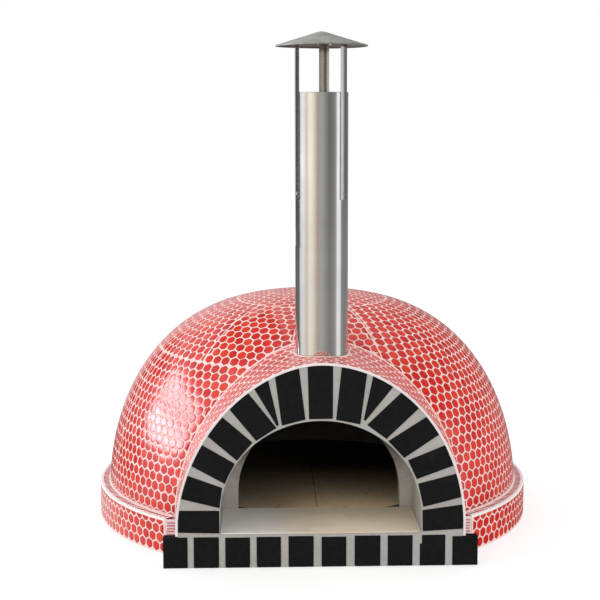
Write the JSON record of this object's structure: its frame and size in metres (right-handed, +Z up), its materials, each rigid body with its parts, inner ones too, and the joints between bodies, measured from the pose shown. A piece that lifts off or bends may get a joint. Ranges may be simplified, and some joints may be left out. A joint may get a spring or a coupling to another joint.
{
  "type": "wood fired pizza oven",
  "caption": "Free-standing domed wood fired oven with hexagon mosaic skin, brick-faced arched gallery, brick sill and a steel flue with a rain cap.",
  "frame": {"origin": "centre of the round base, on its underside", "axes": "+Z up, -Y out of the oven mouth towards the cook, +X to the right of somebody standing in front"},
  "size_m": [1.1799, 1.15, 1.284],
  "materials": {
    "arch_brick_01": "matt black clay slip with cut edges",
    "arch_brick_02": "matt black clay slip with cut edges",
    "arch_brick_03": "matt black clay slip with cut edges",
    "arch_brick_04": "matt black clay slip with cut edges",
    "arch_brick_05": "matt black clay slip with cut edges",
    "arch_brick_06": "matt black clay slip with cut edges",
    "arch_brick_07": "matt black clay slip with cut edges",
    "arch_brick_08": "matt black clay slip with cut edges",
    "arch_brick_09": "matt black clay slip with cut edges",
    "arch_brick_10": "matt black clay slip with cut edges",
    "arch_brick_11": "matt black clay slip with cut edges",
    "arch_brick_12": "matt black clay slip with cut edges",
    "arch_brick_13": "matt black clay slip with cut edges",
    "arch_brick_14": "matt black clay slip with cut edges",
    "arch_brick_15": "matt black clay slip with cut edges",
    "arch_mortar": "matt sanded mortar",
    "base_slab": "cast concrete, fine pores",
    "cap_cone": "dull mill finish",
    "cap_strap_back": "satin",
    "cap_strap_left": "satin",
    "cap_strap_right": "satin",
    "dome_blanket": "soft ceramic fibre blanket",
    "dome_mosaic": "glossy glaze, pale grout",
    "dome_render": "trowelled render",
    "dome_segment_back": "cast refractory, sooted inside",
    "dome_segment_left": "cast refractory, sooted inside",
    "dome_segment_right": "cast refractory, sooted inside",
    "floor_insulation_board": "matt calcium silicate board",
    "flue_collar": "mill finish stainless",
    "flue_seal": "matt high temperature sealant",
    "flue_tube": "bright polished stainless",
    "gallery_casting": "cast refractory, lightly sooted",
    "gallery_insulation": "loose vermiculite fill",
    "gallery_mosaic": "glossy glaze, pale grout",
    "gallery_render": "trowelled render",
    "hearth_slab_back_left": "dense firebrick, flour and ash stains",
    "hearth_slab_back_right": "dense firebrick, flour and ash stains",
    "hearth_slab_front_left": "dense firebrick, flour and ash stains",
    "hearth_slab_front_right": "dense firebrick, flour and ash stains",
    "landing_plate": "brushed stainless, heat toned",
    "ledge_mosaic": "glossy glaze, pale grout",
    "mouth_frame": "cast refractory, lightly sooted",
    "ring_core": "trowelled render",
    "ring_mosaic": "glossy glaze, pale grout",
    "sill_brick_01": "matt black clay slip with cut edges",
    "sill_brick_02": "matt black clay slip with cut edges",
    "sill_brick_03": "matt black clay slip with cut edges",
    "sill_brick_04": "matt black clay slip with cut edges",
    "sill_brick_05": "matt black clay slip with cut edges",
    "sill_brick_06": "matt black clay slip with cut edges",
    "sill_brick_07": "matt black clay slip with cut edges",
    "sill_brick_08": "matt black clay slip with cut edges",
    "sill_brick_09": "matt black clay slip with cut edges",
    "sill_brick_10": "matt black clay slip with cut edges",
    "sill_casting": "cast concrete",
    "sill_mortar": "matt sanded mortar",
    "strap_screws": "satin"
  },
  "bodies": {
    "oven": {"arch_brick_01": "arch_brick_01", "arch_brick_02": "arch_brick_02", "arch_brick_03": "arch_brick_03", "arch_brick_04": "arch_brick_04", "arch_brick_05": "arch_brick_05", "arch_brick_06": "arch_brick_06", "arch_brick_07": "arch_brick_07", "arch_brick_08": "arch_brick_08", "arch_brick_09": "arch_brick_09", "arch_brick_10": "arch_brick_10", "arch_brick_11": "arch_brick_11", "arch_brick_12": "arch_brick_12", "arch_brick_13": "arch_brick_13", "arch_brick_14": "arch_brick_14", "arch_brick_15": "arch_brick_15", "arch_mortar": "arch_mortar", "base_slab": "base_slab", "dome_blanket": "dome_blanket", "dome_mosaic": "dome_mosaic", "dome_render": "dome_render", "dome_segment_back": "dome_segment_back", "dome_segment_left": "dome_segment_left", "dome_segment_right": "dome_segment_right", "floor_insulation_board": "floor_insulation_board", "flue_collar": "flue_collar", "flue_seal": "flue_seal", "gallery_casting": "gallery_casting", "gallery_insulation": "gallery_insulation", "gallery_mosaic": "gallery_mosaic", "gallery_render": "gallery_render", "hearth_slab_back_left": "hearth_slab_back_left", "hearth_slab_back_right": "hearth_slab_back_right", "hearth_slab_front_left": "hearth_slab_front_left", "hearth_slab_front_right": "hearth_slab_front_right", "landing_plate": "landing_plate", "ledge_mosaic": "ledge_mosaic", "mouth_frame": "mouth_frame", "ring_core": "ring_core", "ring_mosaic": "ring_mosaic", "sill_brick_01": "sill_brick_01", "sill_brick_02": "sill_brick_02", "sill_brick_03": "sill_brick_03", "sill_brick_04": "sill_brick_04", "sill_brick_05": "sill_brick_05", "sill_brick_06": "sill_brick_06", "sill_brick_07": "sill_brick_07", "sill_brick_08": "sill_brick_08", "sill_brick_09": "sill_brick_09", "sill_brick_10": "sill_brick_10", "sill_casting": "sill_casting", "sill_mortar": "sill_mortar"},
    "flue": {"flue_tube": "flue_tube"},
    "rain_cap": {"cap_cone": "cap_cone", "cap_strap_back": "cap_strap_back", "cap_strap_left": "cap_strap_left", "cap_strap_right": "cap_strap_right", "strap_screws": "strap_screws"}
  },
  "joints": [
    {"name": "flue_lift", "type": "slide", "parent": "oven", "child": "flue", "axis": [0, 0, 1], "range_m": [0, 0.145]},
    {"name": "cap_lift", "type": "slide", "parent": "flue", "child": "rain_cap", "axis": [0, 0, 1], "range_m": [0, 0.265]}
  ]
}
